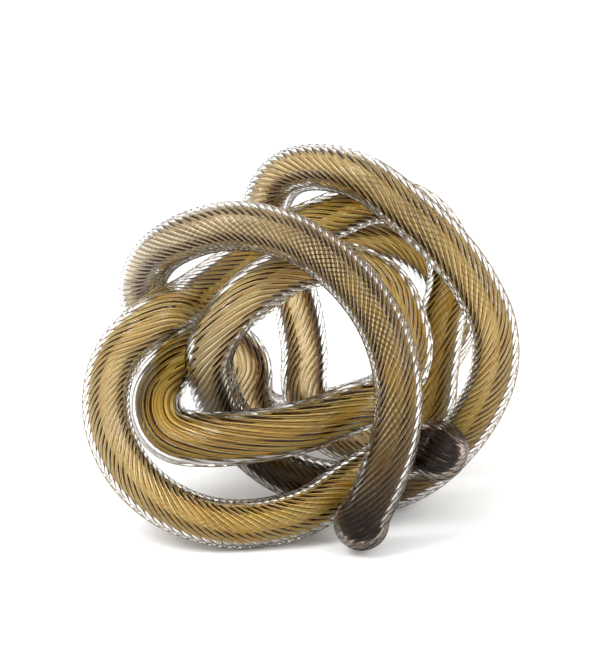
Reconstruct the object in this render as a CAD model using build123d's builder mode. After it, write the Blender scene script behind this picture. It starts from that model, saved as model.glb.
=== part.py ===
"""Glass knot sculpture: one long rope of glass, tied hot into a loose knot that rests on three strands.

The rope is laid out as named runs that follow one another from the front tip to the tail tip. Neighbouring runs meet
face to face, and every other pair of runs keeps clear of the rest.
"""

import os
from math import cos, radians, sin, sqrt

from build123d import *

# Driving dimensions, in mm and degrees
ROPE_DIAMETER = 17.0
FRONT_TIP_SWELL = 1.0
TAIL_TIP_SWELL = 2.0
FOOT_FLAT_DEPTH = 0.5
LEAN_BACK = 20.0

# A gap is looked for only between stretches this far apart along the rope, in rope diameters
NEIGHBOUR_DIAMETERS = 2.7
SAMPLES = 900

# The rope's route, run by run, in rope diameters, so that a thicker rope ties a larger knot. A point is right, up and
# towards the viewer on the knot's leaning face plane, and each run starts at the last point of the run before it.
ROUTE_START = (1.294, 0.676, 1.853)
ROUTE = {
    "front_post": [(1.588, 1.353, 2.206), (1.882, 2.324, 2.529), (1.912, 3.324, 2.647)],
    "front_arch": [(1.588, 4.441, 2.529), (0.882, 5.412, 2.353), (-0.147, 6.147, 2.118), (-1.265, 6.412, 1.882)],
    "front_shoulder": [(-2.353, 6.176, 1.412), (-3.118, 5.529, 0.294), (-3.176, 4.882, -0.647)],
    "back_turn": [(-2.706, 4.471, -1.588), (-1.824, 4.265, -2.235), (-1.147, 3.706, -2.706)],
    "far_foot": [(-1.029, 2.912, -3.176), (-0.412, 2.500, -4.000), (0.765, 2.676, -4.588)],
    "far_rise": [(1.971, 3.118, -4.412), (2.912, 3.882, -3.824), (3.176, 4.824, -3.176)],
    "side_crown": [(2.765, 5.676, -2.706), (2.029, 6.147, -2.353), (1.176, 6.176, -2.059)],
    "middle_fall": [(0.294, 5.882, -1.765), (-0.529, 5.353, -1.412), (-1.353, 4.706, -0.941)],
    "middle_turn": [(-2.118, 4.088, -0.500), (-2.706, 3.529, -0.088), (-2.941, 2.853, 0.412), (-2.588, 2.265, 0.971)],
    "middle_bar": [
        (-1.853, 2.147, 1.353), (-1.029, 2.206, 1.500), (-0.029, 2.382, 1.412),
        (0.971, 2.735, 1.059), (1.794, 3.118, 0.647),
    ],
    "inner_rise": [(2.147, 3.824, 0.353), (2.029, 4.588, 0.176), (1.735, 5.176, 0.176)],
    "inner_crown": [(1.059, 5.588, 0.353), (0.147, 5.647, 0.882), (-0.735, 5.294, 1.235)],
    "inner_fall": [(-1.441, 4.618, 1.529), (-1.824, 3.912, 1.147), (-1.794, 3.294, 0.382), (-1.559, 2.676, -0.382)],
    "under_run": [(-1.147, 2.088, -0.735), (-0.294, 1.441, -0.647), (0.735, 1.176, -0.559), (1.765, 1.176, -0.559)],
    "right_foot": [(2.500, 1.500, -0.529), (3.059, 2.000, -0.471), (3.559, 2.676, -0.235)],
    "right_rise": [(3.882, 3.500, 0.059), (3.882, 4.324, 0.235), (3.500, 5.235, 0.294)],
    "top_slope": [(2.912, 6.029, 0.235), (2.147, 6.735, 0.118), (1.324, 7.353, 0.059)],
    "top_turn": [(0.471, 7.618, -0.471), (-0.294, 7.500, -1.176), (-0.706, 6.912, -1.941)],
    "back_fall": [(-0.559, 6.000, -2.765), (-0.118, 4.971, -3.176), (0.059, 3.971, -3.235)],
    "back_foot": [(0.088, 3.059, -3.059), (0.500, 2.324, -2.941), (1.324, 2.029, -2.647), (2.176, 2.147, -2.176)],
    "side_rise": [(2.618, 2.676, -1.647), (2.735, 3.529, -1.294), (2.853, 4.529, -1.235)],
    "shoulder_turn": [(3.059, 5.412, -1.294), (2.853, 6.235, -1.235), (2.294, 6.794, -1.147), (1.588, 6.971, -1.118)],
    "crown_run": [(0.559, 6.618, -0.882), (-0.412, 6.176, -0.412), (-1.324, 5.588, -0.118)],
    "left_shoulder": [(-2.265, 4.941, 0.588), (-3.059, 4.471, 1.353), (-3.706, 3.765, 1.294)],
    "left_side": [(-3.912, 2.765, 1.235), (-3.618, 1.794, 1.294), (-2.912, 1.000, 1.471)],
    "left_foot": [(-1.882, 0.529, 1.471), (-0.853, 0.471, 1.265), (0.088, 0.706, 1.059)],
    "tail_run": [(0.971, 1.265, 0.706), (1.706, 1.676, 0.706), (2.382, 1.853, 0.794)],
}

ROPE_RADIUS = ROPE_DIAMETER / 2


def lay_out(face):
    """The route's points in the frame of the part, on a face plane."""
    flat_points = [ROUTE_START]
    for run_points in ROUTE.values():
        flat_points += run_points
    return [face.from_local_coords(Vector(*point) * ROPE_DIAMETER) for point in flat_points]


def headings(points):
    """The way the rope runs at each point: its neighbours' chords, the nearer one counting more."""
    chords = [after - before for before, after in zip(points, points[1:])]
    ways = [
        (into / into.length**2 + out / out.length**2).normalized() for into, out in zip(chords, chords[1:])
    ]

    def mirrored(way, chord):
        along = chord.normalized()
        return along * (2 * along.dot(way)) - way

    return [mirrored(ways[0], chords[0]), *ways, mirrored(ways[-1], chords[-1])]


def span_joint(start, start_way, end, end_way):
    """Where two arcs of equal arms meet that carry the rope smoothly from one point to the next, and its way there."""
    chord = end - start
    along = chord.dot(start_way + end_way)
    spread = 2 * (1 - start_way.dot(end_way))
    square = chord.dot(chord)
    arm = square / (along + sqrt(along**2 + spread * square))
    start_arm = start + start_way * arm
    end_arm = end - end_way * arm
    return (start_arm + end_arm) * 0.5, (end_arm - start_arm).normalized()


def lay_spans(points, ways):
    """Two tangent arcs from each point to the next, added to the line that is being built."""
    for start, start_way, end, end_way in zip(points, ways, points[1:], ways[1:]):
        joint, joint_way = span_joint(start, start_way, end, end_way)
        TangentArc(start, joint, tangent=start_way)
        TangentArc(joint, end, tangent=joint_way)


def tip_bulb(end_plane, swell):
    """A rope's rounded end: a ball, thicker than the rope by a swell, cut where it meets the rope's end face."""
    bulb_radius = ROPE_RADIUS + swell
    bulb_height = sqrt(bulb_radius**2 - ROPE_RADIUS**2)
    profile_plane = Plane(end_plane.origin, x_dir=end_plane.x_dir, z_dir=-end_plane.y_dir)
    with BuildPart() as tip:
        with BuildSketch(profile_plane):
            with BuildLine():
                Line((0, 0), (ROPE_RADIUS, 0))
                ThreePointArc((ROPE_RADIUS, 0), (bulb_radius, bulb_height), (0, bulb_height + bulb_radius))
                Line((0, bulb_height + bulb_radius), (0, 0))
            make_face()
        revolve(axis=Axis(end_plane.origin, end_plane.z_dir))
    return tip


# The face plane leans back. It is set so that the rope stands over the origin, with its lowest strands cut flat there.
lean = radians(LEAN_BACK)
upright_face = Plane((0, 0, 0), x_dir=(1, 0, 0), z_dir=(0, -cos(lean), sin(lean)))
loose_points = lay_out(upright_face)
with BuildLine() as loose_rope:
    lay_spans(loose_points, headings(loose_points))
loose_box = loose_rope.line.bounding_box()
floor_height = loose_box.min.Z - ROPE_RADIUS + FOOT_FLAT_DEPTH
face_plane = Plane(
    (-loose_box.center().X, -loose_box.center().Y, -floor_height),
    x_dir=upright_face.x_dir,
    z_dir=upright_face.z_dir,
)
rope_points = lay_out(face_plane)
rope_ways = headings(rope_points)

# Each run of the rope
runs = {}
first = 0
for run_name, run_points in ROUTE.items():
    last = first + len(run_points)
    run_start = Plane(rope_points[first], z_dir=rope_ways[first])
    with BuildPart() as run:
        with BuildLine() as run_line:
            lay_spans(rope_points[first : last + 1], rope_ways[first : last + 1])
        with BuildSketch(run_start):
            Circle(ROPE_RADIUS)
        sweep()
        if run.part.bounding_box().min.Z < 0:
            split(bisect_by=Plane.XY, keep=Keep.TOP)
    runs[run_name] = run
    first = last

# The two rounded ends
front_tip = tip_bulb(Plane(rope_points[0], z_dir=-rope_ways[0]), FRONT_TIP_SWELL)
tail_tip = tip_bulb(Plane(rope_points[-1], z_dir=rope_ways[-1]), TAIL_TIP_SWELL)
pieces = {**runs, "front_tip": front_tip, "tail_tip": tail_tip}

os.makedirs("parts", exist_ok=True)
for piece_name, piece in pieces.items():
    piece.part.label = piece_name
    export_step(piece.part, f"parts/{piece_name}.step")

# What the layout comes to: length, tightest bend, and the least gap between stretches that aren't neighbours
with BuildLine() as whole_rope:
    lay_spans(rope_points, rope_ways)
rope_wire = whole_rope.wire()
tightest_bend = min(arc.radius for arc in rope_wire.edges())
places = [rope_wire.position_at(index / SAMPLES) for index in range(SAMPLES + 1)]
neighbours = round(NEIGHBOUR_DIAMETERS * ROPE_DIAMETER / rope_wire.length * SAMPLES)
least_gap = min(
    (place - other).length - ROPE_DIAMETER
    for index, place in enumerate(places)
    for other in places[index + neighbours :]
)
print(f"rope length {rope_wire.length:.0f} mm, tightest bend {tightest_bend:.1f} mm")
print(f"least gap of the rope to itself {least_gap:.2f} mm")
for piece_name, piece in pieces.items():
    foot = [face for face in piece.part.faces().filter_by(Axis.Z) if abs(face.center().Z) < FOOT_FLAT_DEPTH / 2]
    for flat in foot:
        print(f"{piece_name} rests on a flat at {flat.center().X:.2f}, {flat.center().Y:.2f}, of {flat.area:.1f} mm2")
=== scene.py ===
"""Looks of the glass knot.

A ribbed wall of clear glass runs along the whole rope, over an amber core with twisted threads.
"""

from functools import partial
from math import cos, pi, radians, sin, sqrt, tan

import bmesh
import bpy
import numpy as np
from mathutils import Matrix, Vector
from mathutils.geometry import interpolate_bezier


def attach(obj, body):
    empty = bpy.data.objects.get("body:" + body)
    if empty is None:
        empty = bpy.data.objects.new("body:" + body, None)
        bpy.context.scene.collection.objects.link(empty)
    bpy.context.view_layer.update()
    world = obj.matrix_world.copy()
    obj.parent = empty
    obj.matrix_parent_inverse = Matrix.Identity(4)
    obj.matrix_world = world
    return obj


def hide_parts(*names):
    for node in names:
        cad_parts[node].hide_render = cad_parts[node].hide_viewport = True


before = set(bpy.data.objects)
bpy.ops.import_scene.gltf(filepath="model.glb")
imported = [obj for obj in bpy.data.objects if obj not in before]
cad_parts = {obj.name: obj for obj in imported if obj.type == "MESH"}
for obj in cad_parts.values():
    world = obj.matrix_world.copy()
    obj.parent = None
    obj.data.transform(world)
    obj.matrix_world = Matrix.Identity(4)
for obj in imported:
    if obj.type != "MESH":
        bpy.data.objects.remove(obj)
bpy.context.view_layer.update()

# Sizes in metres, and the route in rope diameters, as the part has them
ROPE_RADIUS = 0.0085
FOOT_FLAT_DEPTH = 0.0005
FRONT_TIP_SWELL = 0.001
TAIL_TIP_SWELL = 0.002
LEAN_BACK = radians(20.0)
ROUTE_START = (1.294, 0.676, 1.853)
ROUTE = {
    "front_post": [(1.588, 1.353, 2.206), (1.882, 2.324, 2.529), (1.912, 3.324, 2.647)],
    "front_arch": [
        (1.588, 4.441, 2.529), (0.882, 5.412, 2.353), (-0.147, 6.147, 2.118), (-1.265, 6.412, 1.882),
    ],
    "front_shoulder": [(-2.353, 6.176, 1.412), (-3.118, 5.529, 0.294), (-3.176, 4.882, -0.647)],
    "back_turn": [(-2.706, 4.471, -1.588), (-1.824, 4.265, -2.235), (-1.147, 3.706, -2.706)],
    "far_foot": [(-1.029, 2.912, -3.176), (-0.412, 2.500, -4.000), (0.765, 2.676, -4.588)],
    "far_rise": [(1.971, 3.118, -4.412), (2.912, 3.882, -3.824), (3.176, 4.824, -3.176)],
    "side_crown": [(2.765, 5.676, -2.706), (2.029, 6.147, -2.353), (1.176, 6.176, -2.059)],
    "middle_fall": [(0.294, 5.882, -1.765), (-0.529, 5.353, -1.412), (-1.353, 4.706, -0.941)],
    "middle_turn": [
        (-2.118, 4.088, -0.500), (-2.706, 3.529, -0.088), (-2.941, 2.853, 0.412), (-2.588, 2.265, 0.971),
    ],
    "middle_bar": [
        (-1.853, 2.147, 1.353), (-1.029, 2.206, 1.500), (-0.029, 2.382, 1.412),
        (0.971, 2.735, 1.059), (1.794, 3.118, 0.647),
    ],
    "inner_rise": [(2.147, 3.824, 0.353), (2.029, 4.588, 0.176), (1.735, 5.176, 0.176)],
    "inner_crown": [(1.059, 5.588, 0.353), (0.147, 5.647, 0.882), (-0.735, 5.294, 1.235)],
    "inner_fall": [
        (-1.441, 4.618, 1.529), (-1.824, 3.912, 1.147), (-1.794, 3.294, 0.382), (-1.559, 2.676, -0.382),
    ],
    "under_run": [
        (-1.147, 2.088, -0.735), (-0.294, 1.441, -0.647), (0.735, 1.176, -0.559), (1.765, 1.176, -0.559),
    ],
    "right_foot": [(2.500, 1.500, -0.529), (3.059, 2.000, -0.471), (3.559, 2.676, -0.235)],
    "right_rise": [(3.882, 3.500, 0.059), (3.882, 4.324, 0.235), (3.500, 5.235, 0.294)],
    "top_slope": [(2.912, 6.029, 0.235), (2.147, 6.735, 0.118), (1.324, 7.353, 0.059)],
    "top_turn": [(0.471, 7.618, -0.471), (-0.294, 7.500, -1.176), (-0.706, 6.912, -1.941)],
    "back_fall": [(-0.559, 6.000, -2.765), (-0.118, 4.971, -3.176), (0.059, 3.971, -3.235)],
    "back_foot": [
        (0.088, 3.059, -3.059), (0.500, 2.324, -2.941), (1.324, 2.029, -2.647), (2.176, 2.147, -2.176),
    ],
    "side_rise": [(2.618, 2.676, -1.647), (2.735, 3.529, -1.294), (2.853, 4.529, -1.235)],
    "shoulder_turn": [
        (3.059, 5.412, -1.294), (2.853, 6.235, -1.235), (2.294, 6.794, -1.147), (1.588, 6.971, -1.118),
    ],
    "crown_run": [(0.559, 6.618, -0.882), (-0.412, 6.176, -0.412), (-1.324, 5.588, -0.118)],
    "left_shoulder": [(-2.265, 4.941, 0.588), (-3.059, 4.471, 1.353), (-3.706, 3.765, 1.294)],
    "left_side": [(-3.912, 2.765, 1.235), (-3.618, 1.794, 1.294), (-2.912, 1.000, 1.471)],
    "left_foot": [(-1.882, 0.529, 1.471), (-0.853, 0.471, 1.265), (0.088, 0.706, 1.059)],
    "tail_run": [(0.971, 1.265, 0.706), (1.706, 1.676, 0.706), (2.382, 1.853, 0.794)],
}

# How far the threads slant from the rope's axis in the middle of each run, in degrees
THREAD_SLANT = {
    "front_post": 33, "front_arch": 46, "front_shoulder": 44, "middle_turn": 24, "middle_bar": 15,
    "inner_rise": 24, "inner_crown": 32, "inner_fall": 30, "under_run": 34, "right_foot": 38,
    "right_rise": 40, "top_slope": 30, "top_turn": 38, "crown_run": 32, "left_shoulder": 34,
    "left_side": 41, "left_foot": 38, "tail_run": 36,
}
USUAL_SLANT = 35
# How smoky the glass is at the end of each run, from 0, amber, to 1, dark
SMOKE = {
    "front_post": 0.35, "front_arch": 0.2, "front_shoulder": 0.05, "middle_turn": 0.32, "middle_bar": 0.30,
    "inner_rise": 0.10, "inner_crown": 0.05, "inner_fall": 0.95, "under_run": 0.75, "right_foot": 0.20,
    "right_rise": 0.0, "top_slope": 0.25, "top_turn": 0.0, "crown_run": 0.10, "left_shoulder": 0.15,
    "left_side": 0.0, "left_foot": 0.10, "tail_run": 1.0,
}
USUAL_SMOKE = 0.0
START_SMOKE = 1.0
# How smoky it is in the middle of a run that turns dark only near its end
LATE_SMOKE = {"inner_fall": 0.05, "tail_run": 0.25}
# How much paler colour is painted on the middle of each run: painted light, which lightens strands that lie in
# shade or that light from behind shines through
PAINTED_PALENESS = {
    "front_arch": 0.2, "front_shoulder": 0.95, "back_turn": 0.6, "far_foot": 0.7, "far_rise": 0.5,
    "side_crown": 0.1, "middle_fall": 0.4, "inner_crown": 0.10, "inner_fall": 0.6, "right_rise": 0.3,
    "top_slope": 0.3, "top_turn": 0.4, "back_fall": 0.7, "back_foot": 0.7, "left_shoulder": 0.15,
    "left_side": 0.5,
}
USUAL_PAINTED_PALENESS = 0.0
# How clearly the far threads show through in the middle of each run
HATCH = {
    "front_post": 0.5, "front_arch": 1.0, "front_shoulder": 0.3, "middle_bar": 0.2, "inner_rise": 0.3,
    "right_rise": 0.3, "top_slope": 0.5, "top_turn": 0.3, "side_rise": 0.4, "crown_run": 0.3,
    "left_foot": 0.4,
}
USUAL_HATCH = 0.1
# Runs at the back whose glass lets more light through. The change from one glass to the other is staggered
# from thread to thread, by this many rings each, and starts over after so many rings.
CLEARER_RUNS = ("back_turn", "far_foot", "far_rise", "back_fall", "back_foot")
STAGGER_STEP, STAGGER_SPAN = 5, 13
# How much thicker than the part the rope is at the end of each run, as a share
SWELL = {"middle_turn": 0.18, "middle_bar": 0.02}
USUAL_SWELL = 0.0
# Away from its ends the rope wavers along its length, thinner by up to four times this share
WAVER = 0.012
WAVER_RATES = (61, 97)
WAVER_SHIFT = 1.3
WAVER_ONSET = 900

# Threads of each kind round the rope, dark and pale ones by turns
THREADS = 22
# The rings along the rope: their spacing, how much longer than its chord a span is taken to be, how many rings
# a rounded end has, and the radius of the last of them
RING_STEP = 0.002
SPAN_SLACK = 1.02
TIP_RINGS = 16
POLE_RADIUS = 2e-5
# A rib has two points on its ridge and two in the valley after it
POINTS_PER_RIB = 4
# The layers as shares of the rope's radius, and the ridge and each flank of their ribs as shares of a rib
CASING_VALLEY, CASING_RIDGE = 0.945, 1.0
CASING_RIDGE_WIDTH, CASING_FLANK_WIDTH = 0.45, 0.08
CORE_VALLEY, CORE_RIDGE = 0.755, 0.85
CORE_RIDGE_WIDTH, CORE_FLANK_WIDTH = 0.40, 0.04
HOLLOW = 0.86
HOLLOW_SIDES = 32


# The rope's path
def headings(points):
    """The way the rope runs at each point: its neighbours' chords, the nearer one counting more."""
    chords = [after - before for before, after in zip(points, points[1:])]
    ways = [
        (into / into.length_squared + out / out.length_squared).normalized()
        for into, out in zip(chords, chords[1:])
    ]
    first, last = chords[0].normalized(), chords[-1].normalized()
    return [first * 2 * first.dot(ways[0]) - ways[0], *ways, last * 2 * last.dot(ways[-1]) - ways[-1]]


def span_places(start, start_way, end, end_way):
    """Places along the smooth span from one point of the route to the next, the last one left out."""
    chord = end - start
    forward = chord.dot(start_way + end_way)
    spread = 2 * (1 - start_way.dot(end_way))
    handle = chord.length_squared / (forward + sqrt(forward**2 + spread * chord.length_squared)) * 4 / 3
    count = max(2, round(chord.length * SPAN_SLACK / RING_STEP))
    return interpolate_bezier(start, start + start_way * handle, end - end_way * handle, end, count + 1)[:-1]


def tip_rings(swell):
    """Distances from the rope's end and radii of a rounded end, from the rope's end face to the pole."""
    bulb_radius = ROPE_RADIUS + swell
    bulb_height = sqrt(bulb_radius**2 - ROPE_RADIUS**2)
    begin = -np.arcsin(bulb_height / bulb_radius)
    angles = np.linspace(begin, pi / 2, TIP_RINGS + 1)[1:]
    return bulb_height + bulb_radius * np.sin(angles), np.maximum(bulb_radius * np.cos(angles), POLE_RADIUS)


right = Vector((1, 0, 0))
up = Vector((0, sin(LEAN_BACK), cos(LEAN_BACK)))
near = Vector((0, -cos(LEAN_BACK), sin(LEAN_BACK)))
flat_points = [ROUTE_START] + [point for run in ROUTE.values() for point in run]
points = [(right * u + up * v + near * w) * 2 * ROPE_RADIUS for u, v, w in flat_points]
ways = headings(points)
places, corners = [], [0]
for span in zip(points, ways, points[1:], ways[1:]):
    places += span_places(*span)
    corners.append(len(places))
places.append(points[-1])
rope_line = np.array(places)
middle = (rope_line.min(0) + rope_line.max(0)) / 2
rope_line += (-middle[0], -middle[1], ROPE_RADIUS - FOOT_FLAT_DEPTH - rope_line.min(0)[2])
rope_along = np.concatenate([[0.0], np.cumsum(np.linalg.norm(np.diff(rope_line, axis=0), axis=1))])

# Where each run starts, has its middle and ends along the rope
run_names = list(ROUTE)
run_spans = np.cumsum([0] + [len(run) for run in ROUTE.values()])
run_rings = [corners[span] for span in run_spans]
run_edges = rope_along[run_rings]
run_middles = (run_edges[1:] + run_edges[:-1]) / 2

# The thickness of the rope and of its rounded ends
swells = [USUAL_SWELL] + [SWELL.get(name, USUAL_SWELL) for name in run_names]
slow_rate, fast_rate = WAVER_RATES
waver = WAVER * (np.sin(rope_along * slow_rate) + np.sin(rope_along * fast_rate + WAVER_SHIFT)) - 2 * WAVER
onset = np.minimum(1, rope_along * (rope_along[-1] - rope_along) * WAVER_ONSET)
rope_radii = ROPE_RADIUS * (1 + np.interp(rope_along, run_edges, swells) + waver * onset)
front_far, front_radii = tip_rings(FRONT_TIP_SWELL)
tail_far, tail_radii = tip_rings(TAIL_TIP_SWELL)

# What else changes from ring to ring, the rounded ends included
along = np.concatenate([-front_far[::-1], rope_along, rope_along[-1] + tail_far])
slants = [tan(radians(THREAD_SLANT.get(name, USUAL_SLANT))) / ROPE_RADIUS for name in run_names]
rates = np.interp(along, run_middles, slants)
turns = np.concatenate([[0.0], np.cumsum(np.diff(along) * (rates[1:] + rates[:-1]) / 2)])
smoke_spots = list(zip(run_edges, [START_SMOKE] + [SMOKE.get(name, USUAL_SMOKE) for name in run_names]))
smoke_spots += [(spot, LATE_SMOKE[name]) for name, spot in zip(run_names, run_middles) if name in LATE_SMOKE]
ring_values = {
    "along": along,
    "turn": turns,
    "smoke": np.interp(along, *zip(*sorted(smoke_spots))),
    # The painted paleness: painted light on strands that lie in shade
    "pale": np.interp(along, run_middles, [PAINTED_PALENESS.get(name, USUAL_PAINTED_PALENESS) for name in run_names]),
    "hatch": np.interp(along, run_middles, [HATCH.get(name, USUAL_HATCH) for name in run_names]),
}
clearer_rings = np.zeros(len(along), np.int32)
for name, begin, end in zip(run_names, run_rings, run_rings[1:]):
    clearer_rings[begin + TIP_RINGS : end + TIP_RINGS] = name in CLEARER_RUNS


def placed(data, name):
    """A new object in the scene."""
    thing = bpy.data.objects.new(name, data)
    bpy.context.scene.collection.objects.link(thing)
    return thing


def rope_path(share):
    """The rope's centreline, rounded ends included, with its thickness, and the turn of its threads as the
    tilt. The share draws the two poles in with the radius of a layer."""
    places = np.concatenate([
        rope_line[0] - np.outer(front_far * share, ways[0])[::-1],
        rope_line,
        rope_line[-1] + np.outer(tail_far * share, ways[-1]),
    ])
    radii = np.concatenate([front_radii[::-1], rope_radii, tail_radii])
    curve = bpy.data.curves.new("rope_path", "CURVE")
    curve.dimensions = "3D"
    curve.twist_mode = "MINIMUM"
    spline = curve.splines.new("POLY")
    spline.points.add(len(places) - 1)
    spline.points.foreach_set("co", np.c_[places, np.ones(len(places))].ravel())
    spline.points.foreach_set("radius", radii / ROPE_RADIUS)
    spline.points.foreach_set("tilt", turns)
    return placed(curve, "rope_path")


# Both kinds of node tree use this
def math_node(tree, kind, *values):
    """What a sum of numbers and sockets comes to."""
    node = tree.nodes.new("ShaderNodeMath")
    node.operation = kind
    for socket, value in zip(node.inputs, values):
        if isinstance(value, (int, float)):
            socket.default_value = value
        else:
            tree.links.new(value, socket)
    return node.outputs[0]


# Geometry nodes: a ribbed profile carried along a path
def rib_profile(tree, given):
    """A ring of ribs, and the node that keeps two values of each of its points: its thread, which is 1 on the
    ridges of pale threads, -1 on those of dark threads and 0 in the valleys, and its way round the rope."""
    nodes, join, figure = tree.nodes, tree.links.new, partial(math_node, tree)
    ribs = given.outputs["Ribs"]
    ridge_width, flank_width = given.outputs["Ridge Width"], given.outputs["Flank Width"]
    valley_radius, ridge_radius = given.outputs["Valley Radius"], given.outputs["Ridge Radius"]
    ring = nodes.new("GeometryNodeCurvePrimitiveCircle")
    join(figure("MULTIPLY", ribs, POINTS_PER_RIB), ring.inputs["Resolution"])
    order = nodes.new("GeometryNodeInputIndex").outputs["Index"]
    rib = figure("FLOOR", figure("MULTIPLY", order, 1 / POINTS_PER_RIB))
    step = figure("MODULO", order, POINTS_PER_RIB)
    in_valley = figure("GREATER_THAN", step, 1.5)
    on_ridge = figure("SUBTRACT", 1.0, in_valley)
    tone = figure("SUBTRACT", 1.0, figure("MULTIPLY", figure("MODULO", rib, 2.0), 2.0))
    thread = figure("MULTIPLY", on_ridge, tone)

    # Where the point lies across its rib, and so round the rope
    across_ridge = figure("MULTIPLY", step, ridge_width)
    both_flanks = figure("MULTIPLY", flank_width, 2.0)
    valley_width = figure("SUBTRACT", figure("SUBTRACT", 1.0, ridge_width), both_flanks)
    valley_begin = figure("ADD", ridge_width, flank_width)
    valley_step = figure("MULTIPLY", figure("SUBTRACT", step, 2.0), valley_width)
    across_valley = figure("ADD", valley_begin, valley_step)
    share = figure(
        "ADD", figure("MULTIPLY", across_ridge, on_ridge), figure("MULTIPLY", across_valley, in_valley)
    )
    angle = figure("DIVIDE", figure("MULTIPLY", figure("ADD", rib, share), 2 * pi), ribs)
    rise = figure("SUBTRACT", ridge_radius, valley_radius)
    reach = figure("SUBTRACT", ridge_radius, figure("MULTIPLY", in_valley, rise))
    round_way = nodes.new("ShaderNodeCombineXYZ")
    join(figure("COSINE", angle), round_way.inputs["X"])
    join(figure("SINE", angle), round_way.inputs["Y"])
    reached = nodes.new("ShaderNodeVectorMath")
    reached.operation = "SCALE"
    join(round_way.outputs[0], reached.inputs[0])
    join(reach, reached.inputs["Scale"])

    keep = nodes.new("GeometryNodeCaptureAttribute")
    keep.capture_items.new("FLOAT", "thread")
    keep.capture_items.new("VECTOR", "around")
    join(ring.outputs["Curve"], keep.inputs["Geometry"])
    join(thread, keep.inputs["thread"])
    join(round_way.outputs[0], keep.inputs["around"])
    profile = nodes.new("GeometryNodeSetPosition")
    join(keep.outputs["Geometry"], profile.inputs["Geometry"])
    join(reached.outputs["Vector"], profile.inputs["Position"])
    return profile.outputs["Geometry"], keep


def flat_underneath(tree, mesh):
    """The mesh with what lies below the floor brought up to it, so that the lowest strands are flat there."""
    nodes, join = tree.nodes, tree.links.new
    where = nodes.new("GeometryNodeInputPosition")
    apart = nodes.new("ShaderNodeSeparateXYZ")
    join(where.outputs["Position"], apart.inputs[0])
    together = nodes.new("ShaderNodeCombineXYZ")
    join(apart.outputs["X"], together.inputs["X"])
    join(apart.outputs["Y"], together.inputs["Y"])
    join(math_node(tree, "MAXIMUM", apart.outputs["Z"], 0.0), together.inputs["Z"])
    rest = nodes.new("GeometryNodeSetPosition")
    join(mesh, rest.inputs["Geometry"])
    join(together.outputs[0], rest.inputs["Position"])
    return rest.outputs["Geometry"]


def ribbed_rope_tree():
    """The tree that carries the profile along the path, thick and thin as the path says."""
    tree = bpy.data.node_groups.new("ribbed_rope", "GeometryNodeTree")
    for name, kind in (
        ("Path", "NodeSocketGeometry"),
        ("Ribs", "NodeSocketInt"),
        ("Valley Radius", "NodeSocketFloat"),
        ("Ridge Radius", "NodeSocketFloat"),
        ("Ridge Width", "NodeSocketFloat"),
        ("Flank Width", "NodeSocketFloat"),
        ("Glass", "NodeSocketMaterial"),
    ):
        tree.interface.new_socket(name, in_out="INPUT", socket_type=kind)
    tree.interface.new_socket("Rope", in_out="OUTPUT", socket_type="NodeSocketGeometry")
    nodes, join = tree.nodes, tree.links.new
    given, result = nodes.new("NodeGroupInput"), nodes.new("NodeGroupOutput")
    profile, keep = rib_profile(tree, given)
    thickness = nodes.new("GeometryNodeInputRadius")
    skin = nodes.new("GeometryNodeCurveToMesh")
    skin.inputs["Fill Caps"].default_value = True
    join(given.outputs["Path"], skin.inputs["Curve"])
    join(profile, skin.inputs["Profile Curve"])
    join(thickness.outputs["Radius"], skin.inputs["Scale"])
    mesh = skin.outputs["Mesh"]
    for name, kind in (("thread", "FLOAT"), ("around", "FLOAT_VECTOR")):
        store = nodes.new("GeometryNodeStoreNamedAttribute")
        store.data_type = kind
        store.domain = "POINT"
        store.inputs["Name"].default_value = name
        join(mesh, store.inputs["Geometry"])
        join(keep.outputs[name], store.inputs["Value"])
        mesh = store.outputs["Geometry"]
    real = nodes.new("GeometryNodeRealizeInstances")
    join(flat_underneath(tree, mesh), real.inputs["Geometry"])
    dress = nodes.new("GeometryNodeSetMaterial")
    join(real.outputs["Geometry"], dress.inputs["Geometry"])
    join(given.outputs["Glass"], dress.inputs["Material"])
    join(dress.outputs["Geometry"], result.inputs["Rope"])
    return tree


ROPE_TREE = ribbed_rope_tree()


def ribbed_mesh(ribs, valley, ridge, ridge_width, flank_width, glass):
    """A layer of the rope as a plain mesh, with its valleys and ridges as shares of the rope's radius."""
    path = rope_path(ridge)
    skin = path.modifiers.new("ribs", "NODES")
    skin.node_group = ROPE_TREE
    inputs = [item for item in ROPE_TREE.interface.items_tree if item.in_out == "INPUT"]
    sockets = {item.name: item.identifier for item in inputs}
    for name, value in (
        ("Ribs", ribs),
        ("Valley Radius", valley * ROPE_RADIUS),
        ("Ridge Radius", ridge * ROPE_RADIUS),
        ("Ridge Width", ridge_width),
        ("Flank Width", flank_width),
        ("Glass", glass),
    ):
        skin[sockets[name]] = value
    graph = bpy.context.evaluated_depsgraph_get()
    mesh = bpy.data.meshes.new_from_object(
        path.evaluated_get(graph), preserve_all_data_layers=True, depsgraph=graph
    )
    bpy.data.objects.remove(path)
    return mesh


# Glass colours
GOLD = (0.97, 0.49, 0.025)
LIGHT_GOLD = (1.0, 0.81, 0.24)
# Painted light: a paler gold for strands that lie in shade
PAINTED_LIT_GOLD = (1.0, 0.85, 0.54)
# Painted highlights: light lines on the ridges of the pale threads
HIGHLIGHT_GOLD = (1.0, 0.84, 0.40)
LIT_HIGHLIGHT_GOLD = (1.0, 0.95, 0.82)
# Painted shade: dark browns on the flanks of the pale threads, which darken the strands' sides
EDGE_SHADE_BROWN = (0.26, 0.11, 0.008)
LIT_EDGE_SHADE_BROWN = (0.66, 0.40, 0.13)
SMOKE_BROWN = (0.13, 0.068, 0.026)
FAR_THREAD_BROWN = (0.14, 0.058, 0.006)
RIDGE_BROWN = (0.16, 0.068, 0.008)
THREAD_BROWN = (0.09, 0.034, 0.002)
CLEAR = (1.0, 0.99, 0.968)
SMOKY_CLEAR = (0.40, 0.32, 0.26)

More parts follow.
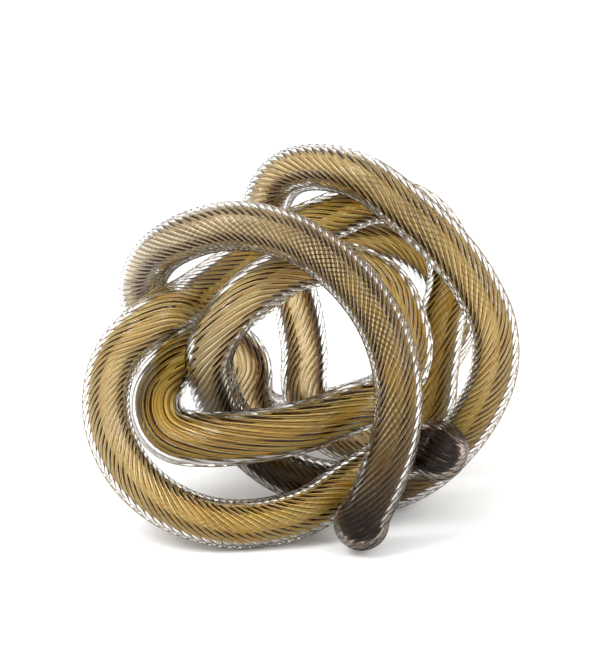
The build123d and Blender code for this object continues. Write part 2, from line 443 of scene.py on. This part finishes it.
# How far from its edge a thread fades, from which value of the thread on a point is on a ridge, and where the
# far threads have their edges
THREAD_FADE = 0.08
RIDGE_TOP = 0.97
FAR_THREAD_EDGE = 0.5
# The streaks' scale round the rope and along it, the patches' scale, and between which values the glass clears
STREAKS_ROUND, STREAKS_ALONG = 9.0, 26.0
STREAK_RANGE = (0.35, 0.65)
PATCH_SCALE = 70.0
PATCH_RANGE = (0.28, 0.58)


# Materials
def reading(tree, name):
    """A node that reads a value which the mesh carries."""
    node = tree.nodes.new("ShaderNodeAttribute")
    node.attribute_name = name
    return node


def band(tree, value, edge):
    """A mask of what lies past an edge, fading on both sides of it."""
    node = tree.nodes.new("ShaderNodeMapRange")
    node.interpolation_type = "SMOOTHSTEP"
    tree.links.new(value, node.inputs["Value"])
    tree.links.new(math_node(tree, "SUBTRACT", edge, THREAD_FADE), node.inputs["From Min"])
    tree.links.new(math_node(tree, "ADD", edge, THREAD_FADE), node.inputs["From Max"])
    return node.outputs["Result"]


def streak_noise(tree):
    """A noise drawn out along the threads."""
    nodes, join = tree.nodes, tree.links.new
    spread = nodes.new("ShaderNodeVectorMath")
    spread.operation = "SCALE"
    spread.inputs["Scale"].default_value = STREAKS_ROUND
    join(reading(tree, "around").outputs["Vector"], spread.inputs[0])
    drift = nodes.new("ShaderNodeCombineXYZ")
    join(math_node(tree, "MULTIPLY", reading(tree, "along").outputs["Fac"], STREAKS_ALONG), drift.inputs["Z"])
    together = nodes.new("ShaderNodeVectorMath")
    together.operation = "ADD"
    join(spread.outputs["Vector"], together.inputs[0])
    join(drift.outputs[0], together.inputs[1])
    noise = nodes.new("ShaderNodeTexNoise")
    noise.inputs["Scale"].default_value = 1.0
    noise.inputs["Detail"].default_value = 2.0
    join(together.outputs["Vector"], noise.inputs["Vector"])
    return noise.outputs["Fac"]


def patch_noise(tree):
    """A noise that makes patches, whatever way the threads run."""
    noise = tree.nodes.new("ShaderNodeTexNoise")
    noise.inputs["Scale"].default_value = PATCH_SCALE
    noise.inputs["Detail"].default_value = 1.0
    place = tree.nodes.new("ShaderNodeTexCoord")
    tree.links.new(place.outputs["Object"], noise.inputs["Vector"])
    return noise.outputs["Fac"]


def twisted_threads_group():
    """Masks of the dark and pale threads that run along the ribs, of the far side's threads, which cross them,
    and of streaks and patches where the glass is clearer."""
    tree = bpy.data.node_groups.new("twisted_threads", "ShaderNodeTree")
    for name in ("Dark Width", "Pale Width", "Unevenness"):
        tree.interface.new_socket(name, in_out="INPUT", socket_type="NodeSocketFloat")
    for name in ("Dark Thread", "Dark Ridge", "Pale Thread", "Pale Ridge", "Far Thread", "Streak", "Patch"):
        tree.interface.new_socket(name, in_out="OUTPUT", socket_type="NodeSocketFloat")
    nodes, join, figure = tree.nodes, tree.links.new, partial(math_node, tree)
    given, result = nodes.new("NodeGroupInput"), nodes.new("NodeGroupOutput")

    streaks = streak_noise(tree)
    wander = figure("MULTIPLY", figure("SUBTRACT", streaks, 0.5), given.outputs["Unevenness"])
    thread = reading(tree, "thread").outputs["Fac"]
    off_ridge = figure("LESS_THAN", figure("ABSOLUTE", thread), RIDGE_TOP)
    dark_edge = figure("ADD", figure("SUBTRACT", 1.0, given.outputs["Dark Width"]), wander)
    pale_edge = figure("SUBTRACT", figure("SUBTRACT", 1.0, given.outputs["Pale Width"]), wander)
    dark = band(tree, figure("MULTIPLY", thread, -1.0), dark_edge)
    pale = band(tree, thread, pale_edge)
    join(figure("MULTIPLY", dark, off_ridge), result.inputs["Dark Thread"])
    join(figure("MULTIPLY", pale, off_ridge), result.inputs["Pale Thread"])
    join(figure("LESS_THAN", thread, -RIDGE_TOP), result.inputs["Dark Ridge"])
    join(figure("GREATER_THAN", thread, RIDGE_TOP), result.inputs["Pale Ridge"])

    round_way = nodes.new("ShaderNodeSeparateXYZ")
    join(reading(tree, "around").outputs["Vector"], round_way.inputs[0])
    angle = figure("ARCTAN2", round_way.outputs["Y"], round_way.outputs["X"])
    crossing = figure("ADD", angle, figure("MULTIPLY", reading(tree, "turn").outputs["Fac"], 2.0))
    far = figure("COSINE", figure("MULTIPLY", crossing, THREADS))
    join(band(tree, far, FAR_THREAD_EDGE), result.inputs["Far Thread"])

    for noise, name, (least, most) in (
        (streaks, "Streak", STREAK_RANGE),
        (patch_noise(tree), "Patch", PATCH_RANGE),
    ):
        clear = nodes.new("ShaderNodeMapRange")
        clear.inputs["From Min"].default_value = least
        clear.inputs["From Max"].default_value = most
        join(noise, clear.inputs["Value"])
        join(clear.outputs["Result"], result.inputs[name])
    return tree


THREAD_GROUP = twisted_threads_group()


def new_material(name):
    """A material with its node tree and its shader."""
    material = bpy.data.materials.new(name)
    material.use_nodes = True
    return material, material.node_tree, material.node_tree.nodes["Principled BSDF"]


def mixed(tree, mask, first, second):
    """A colour that goes from the first to the second by a mask."""
    node = tree.nodes.new("ShaderNodeMix")
    node.data_type = "RGBA"
    tree.links.new(mask, node.inputs["Factor"])
    for socket, value in ((node.inputs[6], first), (node.inputs[7], second)):
        if isinstance(value, tuple):
            socket.default_value = (*value, 1.0)
        else:
            tree.links.new(value, socket)
    return node.outputs[2]


def core_glass(name, clearness):
    """Amber glass with brown threads, smoky or crossed by the far threads as the mesh says. Paler colour and
    light lines on the ridges are painted light, and dark browns on the flanks are painted shade on the
    strands' sides.
    """
    material, tree, shader = new_material(name)
    figure = partial(math_node, tree)
    threads = tree.nodes.new("ShaderNodeGroup")
    threads.node_tree = THREAD_GROUP
    threads.inputs["Dark Width"].default_value = 0.92
    threads.inputs["Pale Width"].default_value = 0.85
    threads.inputs["Unevenness"].default_value = 0.6
    smoke, pale, hatch = (reading(tree, value).outputs["Fac"] for value in ("smoke", "pale", "hatch"))
    patchy = figure("MULTIPLY", hatch, threads.outputs["Patch"])
    # How strongly the painted highlights show on the ridges of the pale threads
    highlight_share = figure("MAXIMUM", pale, patchy)

    glass = mixed(tree, threads.outputs["Streak"], GOLD, LIGHT_GOLD)
    # Paler colour painted where the mesh says: painted light on strands that lie in shade
    glass = mixed(tree, pale, glass, PAINTED_LIT_GOLD)
    # The pale threads' flanks take these browns: painted shade on the strands' sides, laid over the threads'
    # pattern
    edge = mixed(tree, pale, EDGE_SHADE_BROWN, LIT_EDGE_SHADE_BROWN)
    glass = mixed(tree, threads.outputs["Pale Thread"], glass, edge)
    glass = mixed(tree, smoke, glass, SMOKE_BROWN)
    # Painted highlights along the ridges of the pale threads
    painted_highlight = mixed(tree, pale, HIGHLIGHT_GOLD, LIT_HIGHLIGHT_GOLD)
    for lines, share, colour in (
        ("Pale Ridge", highlight_share, painted_highlight),
        ("Far Thread", patchy, FAR_THREAD_BROWN),
        ("Dark Ridge", patchy, RIDGE_BROWN),
    ):
        glass = mixed(tree, figure("MULTIPLY", threads.outputs[lines], share), glass, colour)
    glass = mixed(tree, threads.outputs["Dark Thread"], glass, THREAD_BROWN)
    tree.links.new(glass, shader.inputs["Base Color"])
    shader.inputs["Roughness"].default_value = 0.2
    shader.inputs["IOR"].default_value = 1.08
    shader.inputs["Transmission Weight"].default_value = clearness
    return material


def casing_glass():
    """Clear glass that turns brown only where the smoke is deep."""
    material, tree, shader = new_material("clear_casing")
    deep = math_node(tree, "POWER", reading(tree, "smoke").outputs["Fac"], 3.0)
    tree.links.new(mixed(tree, deep, CLEAR, SMOKY_CLEAR), shader.inputs["Base Color"])
    shader.inputs["Roughness"].default_value = 0.03
    shader.inputs["IOR"].default_value = 1.22
    shader.inputs["Transmission Weight"].default_value = 1.0
    return material


CORE = core_glass("amber_core", 0.45)
CLEARER_CORE = core_glass("clearer_amber_core", 0.7)
CASING = casing_glass()


# Pieces
def write_ring_values(mesh, names, first, last):
    """What changes along the rope, from one ring to another, written on each ring of its mesh."""
    ring_size = len(mesh.vertices) // (last + 1 - first)
    for name in names:
        attribute = mesh.attributes.new(name, "FLOAT", "POINT")
        values = np.repeat(ring_values[name][first : last + 1], ring_size)
        attribute.data.foreach_set("value", values.astype(np.float32))


def core_stretch(whole, first, last, name):
    """A stretch of the whole core from one ring to another, closed at both ends."""
    ring_size = len(whole.vertices) // len(along)
    ring = np.arange(ring_size)
    after = np.roll(ring, -1)
    begins = np.arange(last - first)[:, None] * ring_size
    ends = begins + ring_size
    sides = np.stack([begins + ring, begins + after, ends + after, ends + ring], -1).reshape(-1, 4)
    caps = [ring[::-1].tolist(), (ring + (last - first) * ring_size).tolist()]
    keep = slice(first * ring_size, (last + 1) * ring_size)
    spots = np.zeros(len(whole.vertices) * 3, np.float32)
    whole.vertices.foreach_get("co", spots)
    mesh = bpy.data.meshes.new(name)
    mesh.from_pydata(spots.reshape(-1, 3)[keep].tolist(), [], sides.tolist() + caps)
    for value, kind, field, width in (
        ("thread", "FLOAT", "value", 1),
        ("around", "FLOAT_VECTOR", "vector", 3),
    ):
        values = np.zeros(len(whole.vertices) * width, np.float32)
        whole.attributes[value].data.foreach_get(field, values)
        attribute = mesh.attributes.new(value, kind, "POINT")
        attribute.data.foreach_set(field, values[keep.start * width : keep.stop * width])
    write_ring_values(mesh, list(ring_values), first, last)

    mesh.materials.append(CORE)
    mesh.materials.append(CLEARER_CORE)
    stagger = ring // POINTS_PER_RIB * STAGGER_STEP % STAGGER_SPAN
    change_ring = np.minimum(np.arange(first, last)[:, None] + stagger, len(clearer_rings) - 1)
    clearer = clearer_rings[change_ring].ravel()
    mesh.polygons.foreach_set("material_index", np.concatenate([clearer, [clearer[0], clearer[-1]]]))
    mesh.update()
    return mesh


def dressed(mesh, name, slot, *nodes_replaced):
    """A piece of the knot, placed under the root, and the nodes that it stands for hidden. The slot of its
    finish is not used.
    """
    part = placed(mesh, name)
    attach(part, "root")
    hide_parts(*nodes_replaced)


# The core: the two rounded ends, and the rope between them in two stretches that meet under the middle bar
core = ribbed_mesh(2 * THREADS, CORE_VALLEY, CORE_RIDGE, CORE_RIDGE_WIDTH, CORE_FLANK_WIDTH, CORE)
last_ring = len(along) - 1
front_ring, tail_ring = TIP_RINGS, last_ring - TIP_RINGS
loops_run = run_names.index("under_run")
loops_ring = run_rings[loops_run] + TIP_RINGS
for core_name, slot, first, last, covered in (
    ("front_tip_core", "dark_glass", 0, front_ring, ["front_tip"]),
    ("arch_core", "amber_glass", front_ring, loops_ring, run_names[:loops_run]),
    ("loops_core", "amber_glass", loops_ring, tail_ring, run_names[loops_run:]),
    ("tail_tip_core", "dark_glass", tail_ring, last_ring, ["tail_tip"]),
):
    dressed(core_stretch(core, first, last, core_name), core_name, slot, *covered)

# The casing: a ribbed outer wall round a plain hollow, whose points are spaced evenly
outer = ribbed_mesh(THREADS, CASING_VALLEY, CASING_RIDGE, CASING_RIDGE_WIDTH, CASING_FLANK_WIDTH, CASING)
even_width = 1 / POINTS_PER_RIB
hollow = ribbed_mesh(HOLLOW_SIDES // POINTS_PER_RIB, HOLLOW, HOLLOW, even_width, even_width, CASING)
hollow.flip_normals()
build = bmesh.new()
for layer in (outer, hollow):
    write_ring_values(layer, ["smoke"], 0, last_ring)
    build.from_mesh(layer)
wall = bpy.data.meshes.new("clear_casing")
build.to_mesh(wall)
build.free()
wall.polygons.foreach_set("use_smooth", [True] * len(wall.polygons))
wall.materials.append(CASING)
dressed(wall, "clear_casing", "amber_glass")

# Studio, in metres and watts. The view spans so much along the picture's longer side.
FLOOR_REACH = 12
FLOOR_DROP = 0.0002
VIEW_AIM = (-0.0005, -0.006, 0.0624)
VIEW_DISTANCE = 2.5
VIEW_SPAN = 0.2264


def area_lamp(name, place, size, power):
    """A square lamp that shines at what the camera looks at."""
    lamp = bpy.data.lights.new(name, "AREA")
    lamp.size = size
    lamp.energy = power
    holder = placed(lamp, name)
    holder.location = place
    holder.rotation_euler = (Vector(VIEW_AIM) - Vector(place)).to_track_quat("-Z", "Y").to_euler()


floor_corners = [(x * FLOOR_REACH, y * FLOOR_REACH, 0) for x, y in ((-1, -1), (1, -1), (1, 1), (-1, 1))]
floor_mesh = bpy.data.meshes.new("floor")
floor_mesh.from_pydata(floor_corners, [], [(0, 1, 2, 3)])
floor_paint, _, floor_shader = new_material("floor_paint")
floor_shader.inputs["Base Color"].default_value = (0.93, 0.93, 0.925, 1)
floor_shader.inputs["Roughness"].default_value = 0.9
floor_mesh.materials.append(floor_paint)
floor = placed(floor_mesh, "floor")
floor.location.z = -FLOOR_DROP

area_lamp("window", place=(-1.3, -1.1, 1.9), size=1.1, power=42)
area_lamp("card", place=(1.5, -0.9, 1.2), size=1.0, power=18)

world = bpy.data.worlds.new("studio")
bpy.context.scene.world = world
world.use_nodes = True
sky = world.node_tree.nodes["Background"]
sky.inputs["Color"].default_value = (1, 1, 1, 1)
sky.inputs["Strength"].default_value = 1.25

camera_data = bpy.data.cameras.new("camera")
camera_data.lens = camera_data.sensor_width * VIEW_DISTANCE / VIEW_SPAN
camera = placed(camera_data, "camera")
camera.location = Vector(VIEW_AIM) + near * VIEW_DISTANCE
camera.rotation_euler = (-near).to_track_quat("-Z", "Y").to_euler()
bpy.context.scene.camera = camera
bpy.context.scene.view_settings.view_transform = "Standard"
